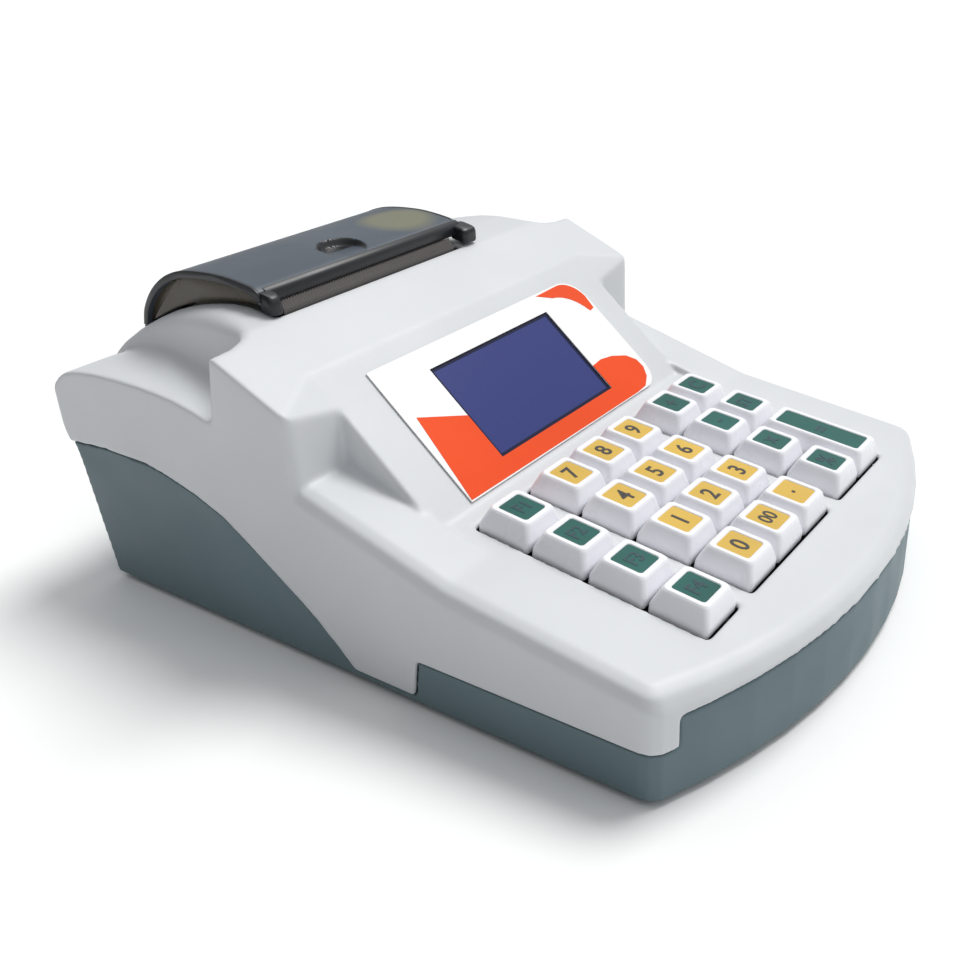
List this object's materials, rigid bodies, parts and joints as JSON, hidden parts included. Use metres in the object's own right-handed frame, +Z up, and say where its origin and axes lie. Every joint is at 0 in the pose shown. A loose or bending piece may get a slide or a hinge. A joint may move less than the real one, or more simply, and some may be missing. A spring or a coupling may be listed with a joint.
{
  "type": "taxi fare register with receipt printer",
  "caption": "Desktop fare register: sloped keyboard deck, tilted display and a receipt printer under a hinged smoked cover, on a dark lower case.",
  "frame": {"origin": "middle of the footprint, on the table", "axes": "+Y from the keyboard to the rear, +Z up, +X to the right of a person at the keyboard"},
  "size_m": [0.19, 0.2603, 0.1117],
  "materials": {
    "light_grey_plastic": "fine satin texture",
    "dark_teal_plastic": "fine satin texture",
    "smoked_plastic": "smoked, see-through, polished",
    "inner_grey_plastic": "plain moulded",
    "display_label_film": "printed film, white field with orange areas",
    "blue_window": "clear window over a blue display",
    "sheet_steel": "bright rolled",
    "screw_steel": "bright plated",
    "black_rubber": "dull",
    "black_plastic": "plain moulded",
    "silicone": "dull",
    "circuit_board": "solder mask",
    "battery_wrap": "shrink film",
    "paper": "thermal paper",
    "card": "plain card",
    "white_nylon": "plain moulded",
    "green_plastic": "plain moulded",
    "key_plastic": "white cap with a coloured insert"
  },
  "bodies": {
    "case": {"upper_case": "light_grey_plastic", "lower_case": "dark_teal_plastic", "foot_front_left": "black_rubber", "foot_front_right": "black_rubber", "foot_rear_left": "black_rubber", "foot_rear_right": "black_rubber", "case_screw_front_left": "screw_steel", "case_screw_front_right": "screw_steel", "case_screw_rear_left": "screw_steel", "case_screw_rear_right": "screw_steel", "key_guide_frame": "black_plastic", "key_mat": "silicone", "keyboard_board": "circuit_board", "display_label": "display_label_film", "display_window": "blue_window", "lcd_module": "sheet_steel", "paper_tub": "inner_grey_plastic", "printer_frame": "sheet_steel", "stepper_motor": "sheet_steel", "print_head": "black_plastic", "tear_bar": "black_plastic", "main_board": "circuit_board", "fiscal_module": "black_plastic", "battery_pack": "battery_wrap", "battery_door": "dark_teal_plastic", "power_jack": "black_plastic", "data_port": "black_plastic"},
    "cover": {"printer_cover": "smoked_plastic"},
    "platen": {"platen_shaft": "sheet_steel", "platen_rubber": "black_rubber", "platen_gear": "white_nylon"},
    "idler": {"idler_gear": "white_nylon"},
    "pinion": {"motor_pinion": "white_nylon"},
    "paper": {"paper_core": "card", "paper_roll": "paper"},
    "lever": {"head_lever": "green_plastic"},
    "rocker": {"power_rocker": "black_plastic"},
    "key_f1": {"key_f1": "key_plastic"},
    "key_f2": {"key_f2": "key_plastic"},
    "key_f3": {"key_f3": "key_plastic"},
    "key_f4": {"key_f4": "key_plastic"},
    "key_7": {"key_7": "key_plastic"},
    "key_4": {"key_4": "key_plastic"},
    "key_1": {"key_1": "key_plastic"},
    "key_0": {"key_0": "key_plastic"},
    "key_8": {"key_8": "key_plastic"},
    "key_5": {"key_5": "key_plastic"},
    "key_2": {"key_2": "key_plastic"},
    "key_00": {"key_00": "key_plastic"},
    "key_9": {"key_9": "key_plastic"},
    "key_6": {"key_6": "key_plastic"},
    "key_3": {"key_3": "key_plastic"},
    "key_point": {"key_point": "key_plastic"},
    "key_plus": {"key_plus": "key_plastic"},
    "key_minus": {"key_minus": "key_plastic"},
    "key_multiply": {"key_multiply": "key_plastic"},
    "key_percent": {"key_percent": "key_plastic"},
    "key_clear": {"key_clear": "key_plastic"},
    "key_subtotal": {"key_subtotal": "key_plastic"},
    "key_total": {"key_total": "key_plastic"}
  },
  "joints": [
    {"name": "cover_hinge", "type": "hinge", "parent": "case", "child": "cover", "pos_m": [0, 0.11365, 0.0865], "axis": [-1, 0, 0], "range_deg": [0, 95]},
    {"name": "platen_spin", "type": "hinge", "parent": "case", "child": "platen", "pos_m": [0, 0.05155, 0.092], "axis": [1, 0, 0], "continuous": true},
    {"name": "idler_spin", "type": "hinge", "parent": "case", "child": "idler", "pos_m": [0, 0.03836, 0.07881], "axis": [1, 0, 0], "continuous": true},
    {"name": "pinion_spin", "type": "hinge", "parent": "case", "child": "pinion", "pos_m": [0, 0.028, 0.06845], "axis": [1, 0, 0], "continuous": true},
    {"name": "paper_spin", "type": "hinge", "parent": "case", "child": "paper", "pos_m": [0, 0.08115, 0.072], "axis": [1, 0, 0], "continuous": true},
    {"name": "lever_hinge", "type": "hinge", "parent": "case", "child": "lever", "pos_m": [0, 0.04315, 0.076], "axis": [1, 0, 0], "range_deg": [0, 15]},
    {"name": "rocker_hinge", "type": "hinge", "parent": "case", "child": "rocker", "pos_m": [0.08, 0.11328, 0.024], "axis": [-1, 0, 0], "range_deg": [0, 12]},
    {"name": "key_f1_press", "type": "slide", "parent": "case", "child": "key_f1", "axis": [0, 0.1564, -0.9877], "range_m": [0, 0.003], "stiffness_N_per_m": 250, "springref_m": -0.001},
    {"name": "key_f2_press", "type": "slide", "parent": "case", "child": "key_f2", "axis": [0, 0.1564, -0.9877], "range_m": [0, 0.003], "stiffness_N_per_m": 250, "springref_m": -0.001},
    {"name": "key_f3_press", "type": "slide", "parent": "case", "child": "key_f3", "axis": [0, 0.1564, -0.9877], "range_m": [0, 0.003], "stiffness_N_per_m": 250, "springref_m": -0.001},
    {"name": "key_f4_press", "type": "slide", "parent": "case", "child": "key_f4", "axis": [0, 0.1564, -0.9877], "range_m": [0, 0.003], "stiffness_N_per_m": 250, "springref_m": -0.001},
    {"name": "key_7_press", "type": "slide", "parent": "case", "child": "key_7", "axis": [0, 0.1564, -0.9877], "range_m": [0, 0.003], "stiffness_N_per_m": 250, "springref_m": -0.001},
    {"name": "key_4_press", "type": "slide", "parent": "case", "child": "key_4", "axis": [0, 0.1564, -0.9877], "range_m": [0, 0.003], "stiffness_N_per_m": 250, "springref_m": -0.001},
    {"name": "key_1_press", "type": "slide", "parent": "case", "child": "key_1", "axis": [0, 0.1564, -0.9877], "range_m": [0, 0.003], "stiffness_N_per_m": 250, "springref_m": -0.001},
    {"name": "key_0_press", "type": "slide", "parent": "case", "child": "key_0", "axis": [0, 0.1564, -0.9877], "range_m": [0, 0.003], "stiffness_N_per_m": 250, "springref_m": -0.001},
    {"name": "key_8_press", "type": "slide", "parent": "case", "child": "key_8", "axis": [0, 0.1564, -0.9877], "range_m": [0, 0.003], "stiffness_N_per_m": 250, "springref_m": -0.001},
    {"name": "key_5_press", "type": "slide", "parent": "case", "child": "key_5", "axis": [0, 0.1564, -0.9877], "range_m": [0, 0.003], "stiffness_N_per_m": 250, "springref_m": -0.001},
    {"name": "key_2_press", "type": "slide", "parent": "case", "child": "key_2", "axis": [0, 0.1564, -0.9877], "range_m": [0, 0.003], "stiffness_N_per_m": 250, "springref_m": -0.001},
    {"name": "key_00_press", "type": "slide", "parent": "case", "child": "key_00", "axis": [0, 0.1564, -0.9877], "range_m": [0, 0.003], "stiffness_N_per_m": 250, "springref_m": -0.001},
    {"name": "key_9_press", "type": "slide", "parent": "case", "child": "key_9", "axis": [0, 0.1564, -0.9877], "range_m": [0, 0.003], "stiffness_N_per_m": 250, "springref_m": -0.001},
    {"name": "key_6_press", "type": "slide", "parent": "case", "child": "key_6", "axis": [0, 0.1564, -0.9877], "range_m": [0, 0.003], "stiffness_N_per_m": 250, "springref_m": -0.001},
    {"name": "key_3_press", "type": "slide", "parent": "case", "child": "key_3", "axis": [0, 0.1564, -0.9877], "range_m": [0, 0.003], "stiffness_N_per_m": 250, "springref_m": -0.001},
    {"name": "key_point_press", "type": "slide", "parent": "case", "child": "key_point", "axis": [0, 0.1564, -0.9877], "range_m": [0, 0.003], "stiffness_N_per_m": 250, "springref_m": -0.001},
    {"name": "key_plus_press", "type": "slide", "parent": "case", "child": "key_plus", "axis": [0, 0.1564, -0.9877], "range_m": [0, 0.003], "stiffness_N_per_m": 250, "springref_m": -0.001},
    {"name": "key_minus_press", "type": "slide", "parent": "case", "child": "key_minus", "axis": [0, 0.1564, -0.9877], "range_m": [0, 0.003], "stiffness_N_per_m": 250, "springref_m": -0.001},
    {"name": "key_multiply_press", "type": "slide", "parent": "case", "child": "key_multiply", "axis": [0, 0.1564, -0.9877], "range_m": [0, 0.003], "stiffness_N_per_m": 250, "springref_m": -0.001},
    {"name": "key_percent_press", "type": "slide", "parent": "case", "child": "key_percent", "axis": [0, 0.1564, -0.9877], "range_m": [0, 0.003], "stiffness_N_per_m": 250, "springref_m": -0.001},
    {"name": "key_clear_press", "type": "slide", "parent": "case", "child": "key_clear", "axis": [0, 0.1564, -0.9877], "range_m": [0, 0.003], "stiffness_N_per_m": 250, "springref_m": -0.001},
    {"name": "key_subtotal_press", "type": "slide", "parent": "case", "child": "key_subtotal", "axis": [0, 0.1564, -0.9877], "range_m": [0, 0.003], "stiffness_N_per_m": 250, "springref_m": -0.001},
    {"name": "key_total_press", "type": "slide", "parent": "case", "child": "key_total", "axis": [0, 0.1564, -0.9877], "range_m": [0, 0.003], "stiffness_N_per_m": 250, "springref_m": -0.001}
  ],
  "couplings": [
    {"joint": "idler_spin", "follows": "platen_spin", "ratio": -0.76923},
    {"joint": "pinion_spin", "follows": "platen_spin", "ratio": 2}
  ]
}
